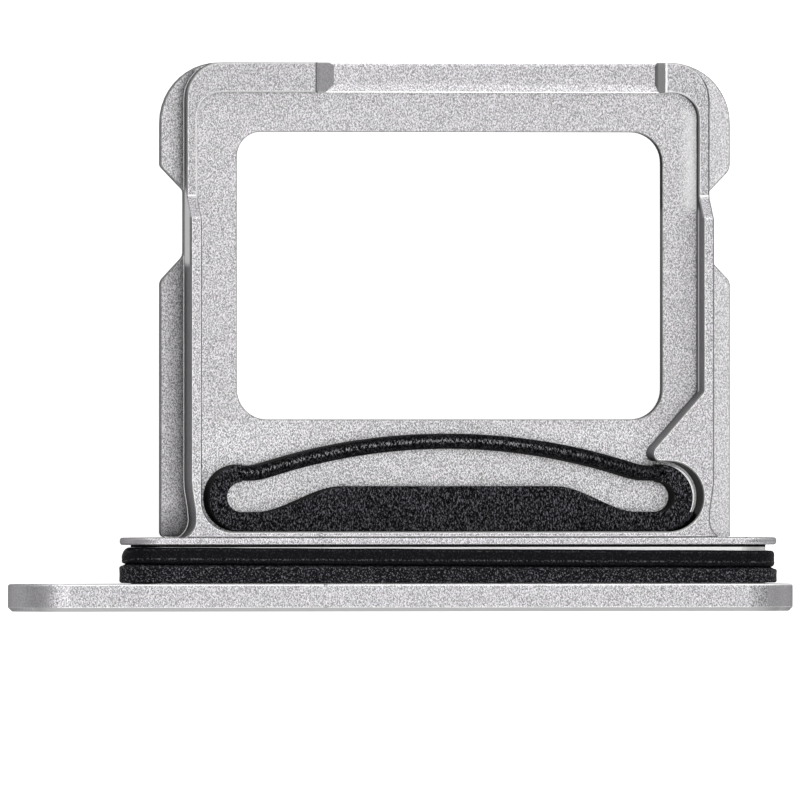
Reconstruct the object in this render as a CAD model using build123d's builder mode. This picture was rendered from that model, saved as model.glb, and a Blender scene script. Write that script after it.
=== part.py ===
import os

from build123d import *

# SIM card tray for a phone, in millimetres.
# X runs along the faceplate, Y from the faceplate to the leading edge, Z up.
# The origin is the centre of the faceplate's outer face.

# Card that the tray carries (nano size) and its play in the pocket
card_width = 12.30
card_length = 8.80
card_side_gap = 0.07

# Faceplate with the hole for the ejector pin
face_length = 19.43
face_height = 2.60
face_thick = 0.67
face_front_chamfer = 0.10
face_back_round = 0.06
ejector_hole_d = 1.14
ejector_chamfer = 0.145

# Neck behind the faceplate: the core that the gasket sits on, then a flange
neck_shift = 1.18
core_length = 15.73
core_height = 1.44
groove_width = 0.95
flange_length = 16.27
flange_height = 1.92
flange_thick = 0.18
flange_round = 0.07

# Carrier: heights of its underside, floor, wings and rim
underside_drop = 0.66
floor_thick = 0.35
wing_thick = 0.30
low_rim_rise = 0.31
high_rim_rise = 0.91
edge_break = 0.03

# Carrier: walls round the pocket, and how far the wings stand out
rim_wall = 0.27
rear_wall = 0.14
leading_wall = 0.735
wing_reach = 0.575
rim_corner = 0.90
wing_corner = 1.48
pocket_corner = 0.62

# Rear of the pocket: bay for the spring, and the key corner above it
spring_room = 1.91
bay_depth = 1.71
bay_left_corner = 0.76
bay_right_corner = 0.85
key_run = 1.50
key_rise = 1.70
key_nose = 0.20
key_top_round = 0.15

# Step from the low rim down at the leading end to the high rim
low_rim_length = 3.27
step_run = 0.54
step_round = 0.18

# Side wings: an upper and a lower one, with the bare rim between them
upper_wing_length_left = 2.535
upper_wing_length_right = 2.605
upper_wing_slope = 0.59
upper_wing_round_left = 0.15
upper_wing_round_right = 0.40
upper_wing_foot_round = 0.28
lower_wing_length = 6.25
lower_wing_slope = 0.61
lower_wing_round = 0.25
wing_rear_round_left = 0.14
wing_rear_round_right = 0.05

# Relief in the outer sides of the rim, beside the flange
relief_length = 1.40
relief_depth = 0.11
relief_waist = 0.44
relief_flare = 0.14

# Window through the floor: its margins to the pocket's walls
window_left = 1.03
window_right = 0.85
window_lead = 0.96
window_rear = 2.74
window_corner = 0.74
window_small_corner = 0.60

# Trough across the leading wall
trough_left_margin = 2.94
trough_right_margin = 0.83
trough_depth = 0.25
trough_left_ramp = 0.48
trough_left_step = 0.04
trough_right_ramp = 0.22
inner_slope_run = 0.20
inner_slope_rise = 0.10
outer_slope_run = 0.08
outer_slope_rise = 0.05

# Card spring: base with a hump, a curl at each end and the bowed leaf
spring_height = 0.86
spring_seat_gap = 0.01
spring_left_gap = 0.19
spring_right_gap = 0.25
spring_chamfer = 0.03
curl_radius = 0.815
curl_thick = 0.43
base_thick = 0.47
hump_thick = 1.10
hump_left = 2.36
hump_right = 2.47
hump_slope = 1.80
leaf_thick = 0.37
leaf_inset = 0.03
leaf_root = 0.10
leaf_level_run = 0.15
leaf_blend = 1.50
leaf_squeeze = 0.48
leaf_apex_shift = -0.05
leaf_top_round = 0.13
foot_height = 0.30
foot_rise = 0.46
foot_start = 0.30

# Gasket: ring with two ribs and a valley between them
gasket_play = 0.01
gasket_end_gap = 0.03
gasket_wall = 0.28
lower_rib_width = 0.37
upper_rib_width = 0.38
upper_rib_drop = 0.06
valley_width = 0.04
valley_wall = 0.14
rib_round = 0.07

# Places that follow from the sizes
neck_end = face_thick + groove_width
carrier_start = neck_end + flange_thick
pocket_width = card_width + 2 * card_side_gap
pocket_left = neck_shift - pocket_width / 2
pocket_right = neck_shift + pocket_width / 2
pocket_rear = carrier_start + rear_wall
pocket_lead = pocket_rear + spring_room + card_length
bay_top = pocket_rear + bay_depth
carrier_end = pocket_lead + leading_wall
rim_half = pocket_width / 2 + rim_wall
wing_half = rim_half + wing_reach
underside = -underside_drop
floor_top = underside + floor_thick
low_rim_top = floor_top + low_rim_rise
high_rim_top = floor_top + high_rim_rise
step_start = carrier_end - low_rim_length
step_end = step_start - step_run
upper_end_left = carrier_end - upper_wing_length_left
upper_end_right = carrier_end - upper_wing_length_right
lower_wing_end = carrier_start + lower_wing_length
ejector_x = (face_height - face_length) / 2


def across(y):
    """Plane square to Y, with X to the right and Z up; extruding by a minus amount goes along +Y."""
    return Plane.XZ.offset(-y)


def over_neck(z):
    """Plane seen from above at height z, centred on the neck and the carrier."""
    return Plane(origin=(neck_shift, 0, z))


def outline_edges(faces):
    """Edges that bound a group of faces, leaving out the ones that two of them share."""
    edges = [edge for face in faces for edge in face.edges()]
    return ShapeList(edge for edge in edges if edges.count(edge) == 1)


# Trough in the leading wall: its long section, kept only where its cross section is too
trough_left = pocket_left + trough_left_margin
trough_right = pocket_right - trough_right_margin
trough_floor = low_rim_top - trough_depth
trough_sky = low_rim_top + trough_depth
with BuildPart() as trough:
    with BuildSketch(across(pocket_lead - inner_slope_run)):
        with BuildLine():
            Polyline(
                (trough_left, trough_sky),
                (trough_left, low_rim_top - trough_left_step),
                (trough_left + trough_left_ramp, trough_floor),
                (trough_right - trough_right_ramp, trough_floor),
                (trough_right, low_rim_top),
                (trough_right, trough_sky),
                close=True,
            )
        make_face()
    extrude(amount=-(leading_wall + 2 * inner_slope_run))
    with BuildSketch(Plane.YZ.offset(trough_left)):
        with BuildLine():
            Polyline(
                (pocket_lead - inner_slope_run, trough_sky),
                (pocket_lead - inner_slope_run, trough_floor + inner_slope_rise),
                (pocket_lead, trough_floor + inner_slope_rise),
                (pocket_lead + inner_slope_run, trough_floor),
                (carrier_end - outer_slope_run, trough_floor),
                (carrier_end, trough_floor + outer_slope_rise),
                (carrier_end + inner_slope_run, trough_floor + outer_slope_rise),
                (carrier_end + inner_slope_run, trough_sky),
                close=True,
            )
        make_face()
    extrude(amount=trough_right - trough_left, mode=Mode.INTERSECT)

# Carrier: rim block with its stepped top, wings, pocket, window and trough
with BuildPart() as carrier:
    with BuildSketch(over_neck(underside)) as rim_outline:
        with BuildLine():
            rear = Line((0, carrier_start), (rim_half + relief_flare, carrier_start))
            waist = (rim_half - relief_depth, carrier_start + relief_waist)
            relief_end = (rim_half, carrier_start + relief_length)
            TangentArc(waist, rear @ 1, tangent=(0, -1))
            Spline(relief_end, waist, tangents=((0, -1), (0, -1)))
            side = Line(relief_end, (rim_half, carrier_end))
            Line(side @ 1, (0, carrier_end))
            mirror(about=Plane.YZ)
        make_face()
        fillet(rim_outline.vertices().group_by(Axis.Y)[-1], rim_corner)
    extrude(amount=high_rim_top - underside)

    with BuildSketch(Plane.YZ.offset(neck_shift - wing_half)):
        with BuildLine():
            Polyline(
                (step_end, high_rim_top),
                (step_start, low_rim_top),
                (carrier_end + rim_wall, low_rim_top),
                (carrier_end + rim_wall, high_rim_top + rim_wall),
                (step_end, high_rim_top + rim_wall),
                close=True,
            )
        make_face()
    extrude(amount=2 * wing_half, mode=Mode.SUBTRACT)
    step_edges = carrier.edges().filter_by(Axis.X)
    step_edges = step_edges.filter_by_position(Axis.Y, step_end, step_start)
    fillet(step_edges, step_round)

    with BuildSketch(over_neck(underside)):
        with BuildLine():
            FilletPolyline(
                (wing_half, carrier_start),
                (wing_half, lower_wing_end),
                (rim_half, lower_wing_end + lower_wing_slope),
                (rim_half, upper_end_right - upper_wing_slope),
                (wing_half, upper_end_right),
                (wing_half, carrier_end),
                (-wing_half, carrier_end),
                (-wing_half, upper_end_left),
                (-rim_half, upper_end_left - upper_wing_slope),
                (-rim_half, lower_wing_end + lower_wing_slope),
                (-wing_half, lower_wing_end),
                (-wing_half, carrier_start),
                radius=[
                    wing_rear_round_right,
                    lower_wing_round,
                    lower_wing_round,
                    upper_wing_foot_round,
                    upper_wing_round_right,
                    wing_corner,
                    wing_corner,
                    upper_wing_round_left,
                    upper_wing_round_left,
                    lower_wing_round,
                    lower_wing_round,
                    wing_rear_round_left,
                ],
                close=True,
            )
        make_face()
    extrude(amount=wing_thick)

    with BuildSketch(Plane.XY.offset(floor_top)):
        with BuildLine():
            FilletPolyline(
                (pocket_left, pocket_rear),
                (pocket_left, pocket_lead),
                (pocket_right, pocket_lead),
                (pocket_right, bay_top + key_rise),
                (pocket_right - key_run, bay_top),
                (pocket_right, bay_top),
                (pocket_right, pocket_rear),
                radius=[
                    bay_left_corner,
                    pocket_corner,
                    pocket_corner,
                    key_top_round,
                    key_nose,
                    bay_right_corner,
                    bay_right_corner,
                ],
                close=True,
            )
        make_face()
    extrude(amount=high_rim_top - floor_top, mode=Mode.SUBTRACT)

    window_width = pocket_width - window_left - window_right
    window_length = pocket_lead - pocket_rear - window_lead - window_rear
    with BuildSketch(Plane.XY.offset(underside)) as window:
        with Locations((pocket_left + window_left, pocket_rear + window_rear)):
            Rectangle(window_width, window_length, align=(Align.MIN, Align.MIN))
        lead_left = window.vertices().sort_by(Axis.X)[:2].sort_by(Axis.Y)[-1]
        fillet(lead_left, window_small_corner)
        fillet(window.vertices().sort_by_distance(lead_left)[2:], window_corner)
    extrude(amount=floor_thick, mode=Mode.SUBTRACT)
    add(trough.part, mode=Mode.SUBTRACT)

    top_faces = carrier.faces().filter_by(lambda face: face.normal_at().Z > 0.5)
    top_faces = top_faces.filter_by_position(Axis.Z, low_rim_top, high_rim_top)
    broken = outline_edges(top_faces) + outline_edges(carrier.faces().sort_by(Axis.Z)[:1])
    broken = ShapeList(broken).filter_by_position(Axis.Y, carrier_start, carrier_end, (False, True))
    chamfer(broken, edge_break)

# Tray body: faceplate, neck, flange and carrier, all one piece of metal
with BuildPart() as tray_body:
    with BuildSketch(across(0)):
        SlotOverall(face_length, face_height)
    extrude(amount=-face_thick)
    chamfer(tray_body.faces().sort_by(Axis.Y)[0].edges(), face_front_chamfer)
    fillet(tray_body.faces().sort_by(Axis.Y)[-1].edges(), face_back_round)
    with BuildSketch(across(0)):
        with Locations((ejector_x, 0)):
            Circle(ejector_hole_d / 2)
    extrude(amount=-face_thick, mode=Mode.SUBTRACT)
    hole_edge = tray_body.faces().sort_by(Axis.Y)[0].edges().filter_by(GeomType.CIRCLE)
    chamfer(hole_edge.sort_by(SortBy.RADIUS)[0], ejector_chamfer)

    with BuildSketch(across(neck_end)):
        with Locations((neck_shift, 0)):
            SlotOverall(flange_length, flange_height)
    extrude(amount=-flange_thick)
    flange_edges = tray_body.edges().filter_by_position(Axis.Y, neck_end, carrier_start)
    fillet(flange_edges.filter_by(Axis.Y, reverse=True), flange_round)
    with BuildSketch(across(face_thick)):
        with Locations((neck_shift, 0)):
            SlotOverall(core_length, core_height)
    extrude(amount=-groove_width)
    add(carrier.part)


# Card spring, one moulding: base with its hump and the two curls, the leaf, and a foot
curl_left = pocket_left + spring_left_gap + curl_radius
curl_right = pocket_right - spring_right_gap - curl_radius
base_rear = pocket_rear + spring_seat_gap
base_top = base_rear + base_thick
hump_top = base_rear + hump_thick
curl_top = base_rear + 2 * curl_radius
curl_under = curl_top - curl_thick
curl_inner = (curl_under - base_top) / 2
curl_middle = (curl_under + base_top) / 2
hump_from = curl_left + hump_left
hump_to = curl_right - hump_right

leaf_shoulder = curl_top - leaf_inset
leaf_under = leaf_shoulder - leaf_thick
leaf_apex_x = neck_shift + leaf_apex_shift
leaf_apex_y = pocket_rear + spring_room + leaf_squeeze
leaf_rise = leaf_apex_y - leaf_shoulder
bend_reach = min(leaf_apex_x - curl_left, curl_right - leaf_apex_x) - leaf_level_run
bend_centre = (bend_reach**2 + leaf_rise**2) / (2 * leaf_rise)
bend_drop = bend_centre - leaf_rise
leaf_radius = bend_centre - leaf_blend


def leaf_point(side, radius):
    """Where the leaf's long arc of this radius meets the bend that levels it out."""
    share = radius / bend_centre
    return (leaf_apex_x + side * bend_reach * share, leaf_apex_y - leaf_radius + bend_drop * share)


with BuildPart() as leaf:
    with BuildSketch(Plane.XY.offset(floor_top)):
        with BuildLine():
            for side, curl_x in ((-1, curl_left), (1, curl_right)):
                level_x = leaf_apex_x + side * bend_reach
                root_x = curl_x + side * leaf_root
                Polyline(
                    (level_x, leaf_shoulder),
                    (root_x, leaf_shoulder),
                    (root_x, leaf_under),
                    (level_x, leaf_under),
                )
                for radius, level_y in (
                    (leaf_radius, leaf_shoulder),
                    (leaf_radius - leaf_thick, leaf_under),
                ):
                    TangentArc(
                        (level_x, level_y), leaf_point(side, radius), tangent=(-side, 0)
                    )
            for radius in (leaf_radius, leaf_radius - leaf_thick):
                ThreePointArc(
                    leaf_point(-1, radius),
                    (leaf_apex_x, leaf_apex_y - leaf_radius + radius),
                    leaf_point(1, radius),
                )
        make_face()
    extrude(amount=spring_height)
    long_edges = leaf.edges().group_by(Axis.Z)[-1].filter_by(Axis.Y, reverse=True)
    fillet(long_edges, leaf_top_round)

with BuildPart() as card_spring:
    with BuildSketch(Plane.XY.offset(floor_top)):
        with BuildLine():
            Line((curl_left, base_rear), (curl_right, base_rear))
            ThreePointArc(
                (curl_right, base_rear),
                (curl_right + curl_radius, base_rear + curl_radius),
                (curl_right, curl_top),
            )
            Line((curl_right, curl_top), (curl_right, curl_under))
            ThreePointArc(
                (curl_right, curl_under),
                (curl_right + curl_inner, curl_middle),
                (curl_right, base_top),
            )
            Line((curl_right, base_top), (hump_to + hump_slope, base_top))
            Spline(
                (hump_to + hump_slope, base_top),
                (hump_to, hump_top),
                tangents=((-1, 0), (-1, 0)),
            )
            Line((hump_to, hump_top), (hump_from, hump_top))
            Spline(
                (hump_from, hump_top),
                (hump_from - hump_slope, base_top),
                tangents=((-1, 0), (-1, 0)),
            )
            Line((hump_from - hump_slope, base_top), (curl_left, base_top))
            ThreePointArc(
                (curl_left, base_top),
                (curl_left - curl_inner, curl_middle),
                (curl_left, curl_under),
            )
            Line((curl_left, curl_under), (curl_left, curl_top))
            ThreePointArc(
                (curl_left, curl_top),
                (curl_left - curl_radius, base_rear + curl_radius),
                (curl_left, base_rear),
            )
        make_face()
    extrude(amount=spring_height)
    chamfer(card_spring.edges().group_by(Axis.Z)[-1], spring_chamfer)
    with BuildSketch(Plane.XY.offset(floor_top)):
        with Locations((curl_right + foot_start, base_rear)):
            Rectangle(curl_radius, foot_rise, align=(Align.MIN, Align.MIN))
        with Locations((pocket_right - bay_right_corner, pocket_rear + bay_right_corner)):
            Circle(bay_right_corner - spring_seat_gap, mode=Mode.INTERSECT)
    extrude(amount=foot_height)
    add(leaf.part)

# Gasket: a sleeve stretched on the neck's core, with a rib at each edge
gasket_start = face_thick + gasket_end_gap
upper_rib_start = gasket_start + lower_rib_width + valley_width
gasket_width = lower_rib_width + valley_width + upper_rib_width
with BuildPart() as seal_gasket:
    for start, width, wall in (
        (gasket_start, lower_rib_width, gasket_wall),
        (upper_rib_start, upper_rib_width, gasket_wall - upper_rib_drop),
    ):
        with BuildSketch(across(start)):
            with Locations((neck_shift, 0)):
                SlotOverall(core_length + 2 * wall, core_height + 2 * wall)
        extrude(amount=-width)
        rib_edges = seal_gasket.faces().filter_by(Axis.Y).edges()
        fillet(rib_edges.filter_by_position(Axis.Y, start, start + width), rib_round)
    with BuildSketch(across(gasket_start + rib_round)):
        with Locations((neck_shift, 0)):
            SlotOverall(core_length + 2 * valley_wall, core_height + 2 * valley_wall)
    extrude(amount=-(gasket_width - 2 * rib_round))
    with BuildSketch(across(gasket_start)):
        with Locations((neck_shift, 0)):
            SlotOverall(core_length + 2 * gasket_play, core_height + 2 * gasket_play)
    extrude(amount=-gasket_width, mode=Mode.SUBTRACT)

os.makedirs("parts", exist_ok=True)
tray_body.part.label = "tray_body"
export_step(tray_body.part, "parts/tray_body.step")
card_spring.part.label = "card_spring"
export_step(card_spring.part, "parts/card_spring.step")
seal_gasket.part.label = "seal_gasket"
export_step(seal_gasket.part, "parts/seal_gasket.step")
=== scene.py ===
"""Looks of a SIM card tray: blasted metal body, moulded black card spring and two-ribbed gasket.

Sizes are in millimetres unless a name says otherwise, and turned into metres where a mesh,
a light or a node takes them. The frame is the CAD model's: X along the faceplate, Y from the
faceplate to the leading edge, Z up, with the origin in the middle of the faceplate's front.
"""

import math
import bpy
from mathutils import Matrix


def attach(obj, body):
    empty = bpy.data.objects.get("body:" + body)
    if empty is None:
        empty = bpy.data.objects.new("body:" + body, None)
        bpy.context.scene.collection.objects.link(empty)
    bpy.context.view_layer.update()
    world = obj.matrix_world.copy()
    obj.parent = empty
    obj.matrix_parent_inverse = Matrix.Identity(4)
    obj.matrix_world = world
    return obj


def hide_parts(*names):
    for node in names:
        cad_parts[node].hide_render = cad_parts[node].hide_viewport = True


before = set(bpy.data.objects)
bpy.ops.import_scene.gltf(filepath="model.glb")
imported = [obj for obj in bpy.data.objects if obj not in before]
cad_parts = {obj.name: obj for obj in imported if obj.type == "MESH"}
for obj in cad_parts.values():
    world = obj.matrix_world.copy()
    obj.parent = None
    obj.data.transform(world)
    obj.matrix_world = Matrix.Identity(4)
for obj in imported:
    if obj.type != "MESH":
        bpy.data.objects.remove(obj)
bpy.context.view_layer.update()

from types import SimpleNamespace

import bmesh
import bpy
from mathutils import Vector, geometry, noise

MM = 0.001

# Camera: a long lens, nearly overhead and leaning to the left
CAMERA_LEAN = math.radians(10.5)
CAMERA_AIM = (-0.025, 5.151, 0.0)
CAMERA_DISTANCE = 813.0
CAMERA_LENS = 1500.0
CAMERA_SENSOR = 36.0
CAMERA_CLIP = (10.0, 10000.0)

# Floor and light
FLOOR_HEIGHT = -1.3
FLOOR_HALF = 3000.0
SQUARE = ((-1, -1), (1, -1), (1, 1), (-1, 1))
FLOOR_SEEN = 0.9
FLOOR_REFLECTED = 0.62
FLOOR_LIFT = 0.82
ROOM_GREY = 0.33
SKY_LEFT = -0.57
SKY_RIGHT = 0.77
SKY_BLUR = 0.05
SKY_RADIANCE = 0.46
SKY_ENDS = 1.5
SKY_ENDS_FROM = 0.45
SKY_ENDS_TO = 0.75
LIGHT_HEIGHT = 800.0
LIGHT_SIZE = 800.0
LIGHT_RADIANCE = 0.1
LAMP_LEAN = math.radians(4)
LAMP_SPREAD = math.radians(12)
LAMP_STRENGTH = 0.32

# Where the CAD model has the neck, the pocket's floor and the spring's seat
NECK_SHIFT = 1.18
FLOOR_TOP = -0.31
POCKET_REAR = 1.94
CORE_HALF_RUN = 7.145
CORE_RADIUS = 0.72

# Angle between faces from which an edge of a moulded piece is sharp
SHARP_FROM = math.radians(35)

# How sharp a corner may be before an outline that is moved inwards is held back there
SHARP_CORNER = 0.6

# Points nearer to each other than this are one where an outline is filled
SAME_POINT = 1e-6

# Steps along the outlines and sections of the moulded pieces
BASE_STEPS = 24
CURL_STEPS = 40
BORE_STEPS = 24
SLOPE_STEPS = 20
HUMP_STEPS = 12
BASE_ROUND_STEPS = 4
FOOT_STEPS = 16
FOOT_ROUND_STEPS = 2
LEAF_END_STEPS = 4
LEAF_BLEND_STEPS = 10
LEAF_STEPS = 72
LEAF_ROUND_STEPS = 8
RIB_STEPS = 5
NECK_STEPS = 60
NECK_END_STEPS = 32

# Card spring
SPRING_TOP = 0.55
SPRING_ROUND = 0.035
CURL_LEFT = -4.035
CURL_RIGHT = 6.335
CURL_RADIUS = 0.815
CURL_THICK = 0.43
BASE_REAR = 1.95
BASE_TOP = 2.42
HUMP_TOP = 3.05
HUMP_FROM = -1.432
HUMP_TO = 3.749
HUMP_LEFT_SLOPE = 2.135
HUMP_RIGHT_SLOPE = 2.04
CURL_TOP = BASE_REAR + 2 * CURL_RADIUS
LEAF_THICK = 0.37
LEAF_SHOULDER = 3.55
LEAF_ROOT = 0.10
LEAF_APEX = (1.13, 4.33)
LEAF_LEVEL_RUN = 0.15
LEAF_BLEND = 1.50
LEAF_ROUND = 0.15
LEAF_LIFT = 0.004
LEAF_FLAT = 0.02
LEAF_CROWN = 0.055
LEAF_SKIN = 0.35
# Painted sheen along the leaf's crown, a painted highlight: its level, swing, pace, loss and fade
LEAF_SHEEN = 0.8
LEAF_SHEEN_SWING = 0.6
LEAF_SHEEN_PACE = 0.55
LEAF_SHEEN_LOST = 0.8
LEAF_SHEEN_FADES = (0.62, 0.82)
LEAF_LINE = 0.02
LEAF_LINE_SWING = 0.03
LEAF_LINE_PACE = 0.8
LEAF_LINE_ROW = 5.0
FOOT_HEIGHT = 0.30
FOOT_RISE = 0.46
FOOT_START = 0.30
# Painted light on the foot's top: how much stronger its specks are
FOOT_TOP_LIGHT = 3.0
FOOT_ROUND = 0.02
FOOT_TOP_REACH = 0.03
POCKET_RIGHT = 7.40
BAY_CORNER = 0.85
SPRING_GAP = 0.01

# Gasket ribs: start, width, wall, flank before and after the crown, painted sheen on the crown's
# two edges and how strong the specks are
GASKET_START = 0.69
GASKET_INNER = 0.01
GASKET_RIBS = (
    (0.69, 0.38, 0.28, 0.03, 0.03, 0.1, 0.9, 1.0),
    (1.12, 0.40, 0.22, 0.125, 0.055, 1.0, 0.35, 0.1),
)
VALLEY_WALL = 0.13
VALLEY_BEFORE = 0.01
RIB_SHOULDER = 0.07
RIB_DISH = 0.006
CROWN_LINE = 0.022
GASKET_SKEW = 0.045
GASKET_SKEW_REACH = 0.4
GASKET_WANDER = 0.008
GASKET_WANDER_PACE = (0.9, 2.0, 0.9)

# Where and how far the ribs' ends are rounded off at the two ends of the neck
UPPER_END_FROM = 1.12
UPPER_END_WIDTH = 0.38
UPPER_END_WALL = 0.22
LOWER_END_MIDDLE = 0.885
LOWER_END_WIDTH = 0.37
LOWER_END_WALL = 0.28
LOWER_END_ROUND = 0.09
LEFT_END_ROUND = 0.30
RIGHT_END_ROUND = 0.12

# Grain of all three materials: its turn, and for each of its layers how fine it is, its
# roughness and its share
GRAIN_TURN = (0.61, 0.37, 0.83)
GRAIN_LAYERS = ((1.0, 0.55, 0.6), (2.3, 0.5, 0.4))

# Blasted metal: tint, brightness of the darkest and lightest specks and of rubbed edges and
# painted highlights, grain, shine, painted glint and bump
METAL_TINT = (1.008, 0.985, 1.02)
METAL_DARK = 0.30
METAL_LIGHT = 0.96
METAL_EDGE_AND_HIGHLIGHT = 0.98
METAL_CELLS_PER_METRE = 33000.0
METAL_GRAIN_CONTRAST = 5.9
METAL_GRAIN_STRETCH = 0.72
METAL_ROUGHNESS = 0.42
RUB_SMOOTHER = 0.14
METAL_EDGE_GLINT = 0.45
METAL_GRAZING = 0.5
METAL_BUMP = 0.012
METAL_BUMP_STRENGTH = 0.5

# How far its soft shades reach, how dark they get and where the light comes from
OPEN_ROOM = 0.92
OPEN_ASIDE = 0.55
WALL_SHADE = (0.6, 0.25)
FLOOR_SHADE = (0.3, 0.12)
WING_SHADES = ((0.9, 0.2), (0.2, 0.25))
FOOT_LINE_REACH = 0.03
EDGE_REACH = 0.03
EDGE_LEVELS = (0.97, 0.78)
SHADE_SAMPLES = 6
LIGHT_FROM = (0.55, 0.6, 0.58)

# Where the tray's metal changes its tone. Each pair says where a mask is 0 and where it is 1, and
# two pairs are the two ends of a band. A TILT goes by one part of the surface's direction.
UP_TILT = (0.5, 0.8)
ONWARD_TILT = (-0.1, 0.1)
LEFTWARD_TILT = (-0.5, -0.8)
WALL_TILT = (0.45, 0.25)
FLANK_TILT = (0.32, 0.42)
CARRIER_Y = (1.81, 1.82)
LEFT_OUTSIDE_X = (-5.0, -5.1)
FLOOR_Z = ((-0.33, -0.315), (-0.3, -0.308))
WINGS_Z = (-0.33, -0.35)
BAY_Y = (3.66, 3.36)
BAY_WALL_Z = (-0.32, -0.3)
BAY_WALL_TILT = (-0.05, -0.3)
LOW_WALL_X = (6.0, 6.6)
LOW_WALL_Y = ((9.7, 9.9), (12.5, 12.4))
HIGH_RIM_Y = (9.9, 9.7)
LIT_FLOOR_X = (6.9, 7.3)
LIT_FLOOR_Y = ((9.7, 9.9), (12.4, 12.0))
LEFT_RIM_X = (-4.8, -5.0)
RIM_TOP_Z = ((-0.1, -0.05), (0.1, 0.05))
RIGHT_WING_X = (7.6, 7.7)
BAY_MIDDLE = (6.55, 2.79)
CURL_FLOOR_X = (6.7, 6.9)
SLIVER_RADIUS = (0.79, 0.8)
OUTER_BAND_Y = ((8.35, 8.55), (10.36, 10.16))
OUTER_BAND_Z = ((-0.3, -0.25), (0.43, 0.38))
INNER_LINE_X = (6.9, 7.0)
INNER_LINE_Y = ((5.3, 5.4), (9.9, 9.7))
INNER_LINE_Z = ((-0.14, -0.1), (0.06, 0.02))
GROOVE_Y = ((0.68, 0.69), (1.625, 1.62))
GROOVE_END_Y = (1.615, 1.625)
# The painted shade line on the core along the flange
FLANGE_SHADE_Y = (1.56, 1.57)
HIGH_EDGE_Z = (-0.3, -0.25)
RIGHT_OUTSIDE_X = (7.53, 7.48)
BEVEL_TILT = ((0.5, 0.55), (0.83, 0.78))
LEAD_TILT = (0.3, 0.5)
LOW_BEVEL_Z = (0.15, 0.1)
RIM_BEVEL_Z = (-0.2, -0.15)
WING_BEVEL_Z = (-0.25, -0.3)
RIGHT_RIM_X = (6.7, 6.9)
TROUGH_Y = (12.6, 12.7)
STEP_TILT = (0.5, 0.6)
STEP_Y = ((9.4, 9.5), (10.4, 10.3))
FRONT_TILT = (-0.5, -0.6)
FRONT_UP_TILT = (0.5, 0.6)
FRONT_Y = (0.11, 0.1)
LEAD_Y = (12.63, 12.65)
STEP_LINE_Z = (-0.04, 0.0)
ROUNDED_TILT = (0.0, 0.15)
ROUNDED_Y = ((0.4, 0.5), (1.81, 1.8))
OPEN_EDGE_TILT = ((-0.6, -0.3), (0.5, 0.2))
LEAD_GLINT_Y = (12.3, 12.5)
GLINT_TILT = (-0.3, -0.05)
ROUND_SPRING_Y = (4.8, 4.3)

# Fine painted lines on the rim, dark for shade and bright for highlight: their middles, and half
# widths as pairs for a mask
TROUGH_LEFT = -2.1
TROUGH_RIGHT = 6.6
STEP_LINE = 10.14
SHADE_LINE = (0.02, 0.01)
HIGHLIGHT_LINE = (0.03, 0.01)
TROUGH_LINE_CLEAR = (0.04, 0.06)

# Painted light and shade of those places, and how much of each tone is mixed in
FLANK_SHADE_SHARE = 0.7
FLANK_SHADE_LEVELS = (0.48, 0.6)
WALL_SHADE_GREY = 0.05
WALL_SHADE_SHARES = (0.5, 0.2)
SHADED_WALL_GREY = 0.004
LOW_WALL_SHADE_SHARE = 0.8
LIT_FLOOR_SHARE = 0.6
RIM_SHADE_SHARES = (0.08, 0.12)
RIGHT_WING_LIT = 0.2
SLIVER_SHADE = 0.4
LOW_EDGE_SHADE = 0.2
BEVEL_SHADE_GREY = 0.4
RIGHT_BEVEL_LIT_GREY = 0.6
DARK_BEVEL_SHADE_GREY = 0.12
LEAD_INSIDE_LIT_GREY = 0.8
LEAD_OUTSIDE_SHADE_GREY = 0.55
TROUGH_RAMP_SHARE = 0.47
FRONT_BEVEL_SHADE_GREY = 0.5
SHADE_LINE_GREY = 0.1
FLANGE_SHADE_GREY = 0.01

# How much painted glint, given as emission, some of them get on top of that
FLANGE_GLINT = 0.05
BEVEL_HIGHLIGHT_GLINT = 0.6
LEAD_GLINT = 0.25
CORE_GLINT = 0.3
INNER_LINE_SHARE = 0.85
SPOT_HIGHLIGHT_GLINT = 0.7
BAND_GLINT = 0.7
LINE_GLINT = 0.3
ROUND_SPRING_GLINT = 0.35

# Moulded black of the spring and the gasket, with the painted shade of the upright sides and the
# tint and breaks of the painted sheen
BLACK_GRAIN_CONTRAST = 4.5
BLACK_WALL_SHADE = 0.045
BLACK_WALL_TILT = (0.6, 0.3)
BLACK_TINT = (0.95, 0.95, 1.3)
SPECK_TINT = (1.0, 0.98, 1.1)
SHEEN_TINT = (1.0, 0.99, 1.04)
SHEEN_BREAKS = (0.4, 1.0)
BLACK_BUMP = 0.03
BLACK_BUMP_STRENGTH = 0.6


# Shader nodes


def node(tree, kind, inputs=(), **settings):
    """Adds a shader node; inputs maps a socket's name or number to a value or to what feeds it."""
    made = tree.nodes.new("ShaderNode" + kind)
    for name, value in settings.items():
        setattr(made, name, value)
    for name, value in dict(inputs).items():
        if isinstance(value, bpy.types.NodeSocket):
            tree.links.new(value, made.inputs[name])
        else:
            made.inputs[name].default_value = value
    return made


def math_node(tree, operation, first, second=0.0, clamp=False):
    """A sum, product or the like of two values."""
    made = node(tree, "Math", {0: first, 1: second}, operation=operation, use_clamp=clamp)
    return made.outputs[0]


def ramp(tree, value, low, high, out_low=0.0, out_high=1.0, smooth=True):
    """The value's share of the way from low to high, turned into out_low to out_high."""
    made = node(
        tree,
        "MapRange",
        {"Value": value, "From Min": low, "From Max": high, "To Min": out_low, "To Max": out_high},
        interpolation_type="SMOOTHSTEP" if smooth else "LINEAR",
    )
    return made.outputs["Result"]


def mixed(tree, share, first, second, blend="MIX"):
    """Two colours mixed by a share."""
    inputs = {0: share, 6: first, 7: second}
    return node(tree, "Mix", inputs, data_type="RGBA", blend_type=blend).outputs[2]


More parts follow.
